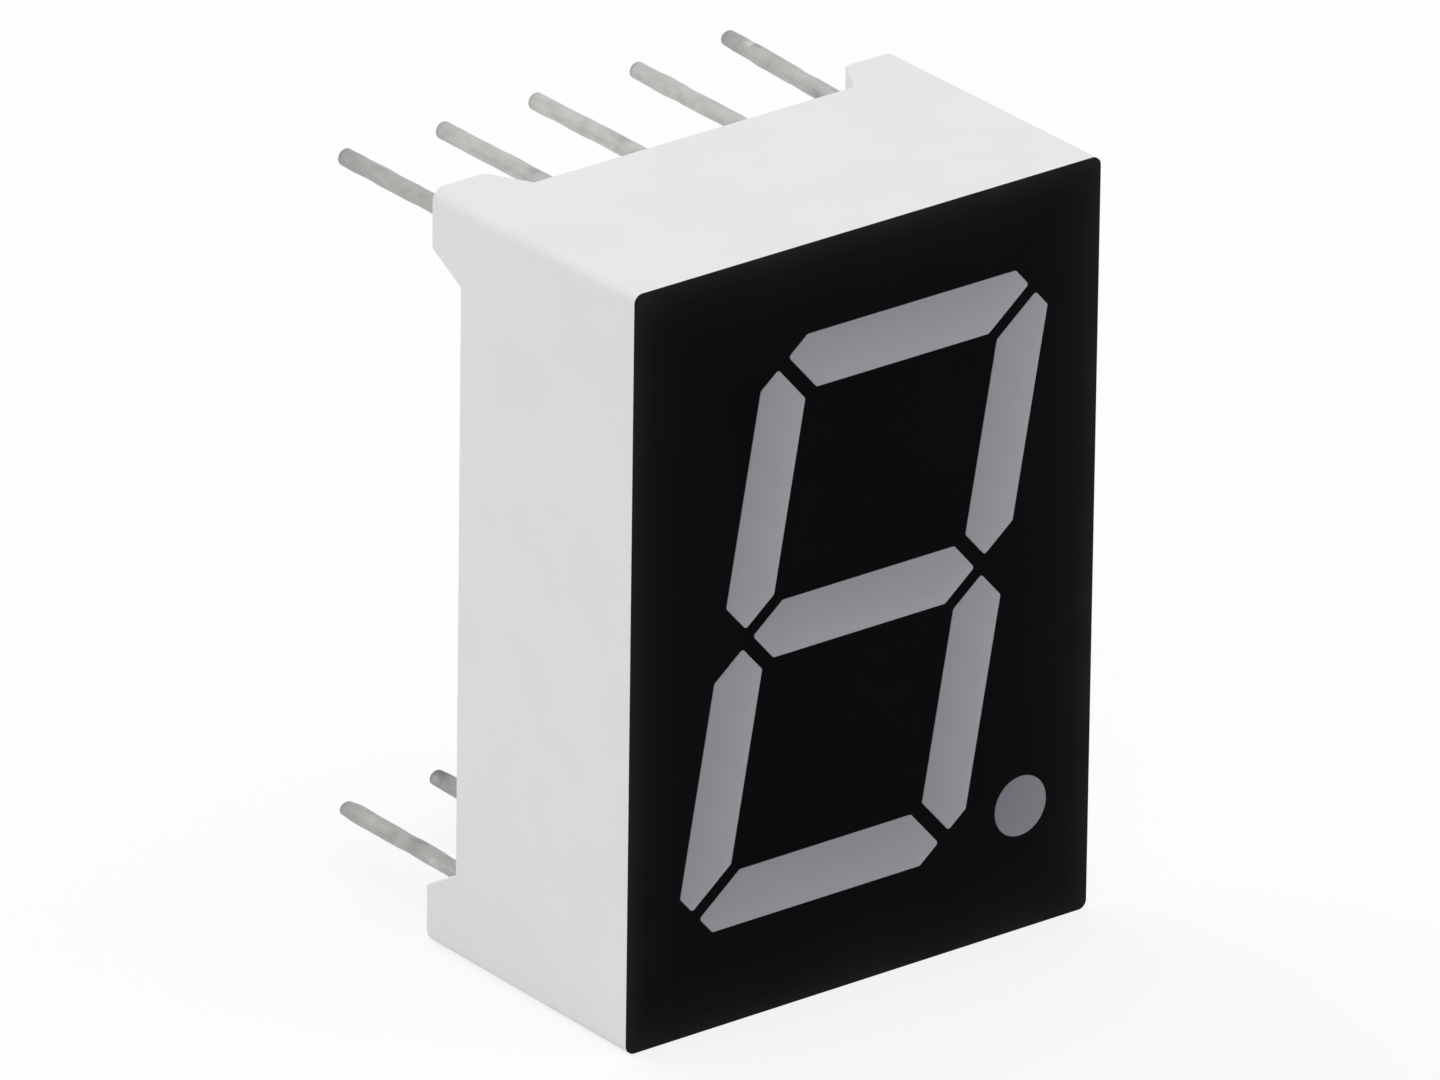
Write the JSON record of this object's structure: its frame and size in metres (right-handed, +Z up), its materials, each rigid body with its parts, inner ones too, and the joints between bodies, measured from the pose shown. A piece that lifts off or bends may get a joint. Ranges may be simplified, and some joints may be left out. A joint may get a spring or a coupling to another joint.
{
  "type": "seven segment display",
  "caption": "LED display for showing a digit: slanted light bars and a decimal point in a black face, in a white housing with corner feet and rows of round pins.",
  "frame": {"origin": "centre of the ten pins, on the plane where the feet meet a board", "axes": "+X right across the face as seen from the front, +Y back along the pins, +Z up the digit; the face looks along -Y"},
  "size_m": [0.0124, 0.0115, 0.0176],
  "materials": {
    "white_plastic": "smooth moulded, satin",
    "black_print": "even satin black print",
    "diffuser_resin": "smooth grey, light scattering",
    "board_laminate": "glass fibre laminate",
    "copper_foil": "etched copper foil",
    "solder": "bright tin solder",
    "potting_resin": "cast resin, smooth",
    "die_crystal": "sawn crystal",
    "bond_wire_gold": "drawn fine wire",
    "tinned_pin": "dull dipped tin"
  },
  "bodies": {
    "root": {"housing": "white_plastic", "face_print": "black_print", "decimal_point": "diffuser_resin", "circuit_board": "board_laminate", "copper_tracks": "copper_foil", "solder_joints": "solder", "rear_potting": "potting_resin", "segment_a": "diffuser_resin", "segment_b": "diffuser_resin", "segment_c": "diffuser_resin", "segment_d": "diffuser_resin", "segment_e": "diffuser_resin", "segment_f": "diffuser_resin", "segment_g": "diffuser_resin", "led_die_a": "die_crystal", "led_die_b": "die_crystal", "led_die_c": "die_crystal", "led_die_d": "die_crystal", "led_die_e": "die_crystal", "led_die_f": "die_crystal", "led_die_g": "die_crystal", "led_die_point": "die_crystal", "bond_wire_a": "bond_wire_gold", "bond_wire_b": "bond_wire_gold", "bond_wire_c": "bond_wire_gold", "bond_wire_d": "bond_wire_gold", "bond_wire_e": "bond_wire_gold", "bond_wire_f": "bond_wire_gold", "bond_wire_g": "bond_wire_gold", "bond_wire_point": "bond_wire_gold", "pin_1": "tinned_pin", "pin_2": "tinned_pin", "pin_3": "tinned_pin", "pin_4": "tinned_pin", "pin_5": "tinned_pin", "pin_6": "tinned_pin", "pin_7": "tinned_pin", "pin_8": "tinned_pin", "pin_9": "tinned_pin", "pin_10": "tinned_pin"}
  },
  "joints": []
}
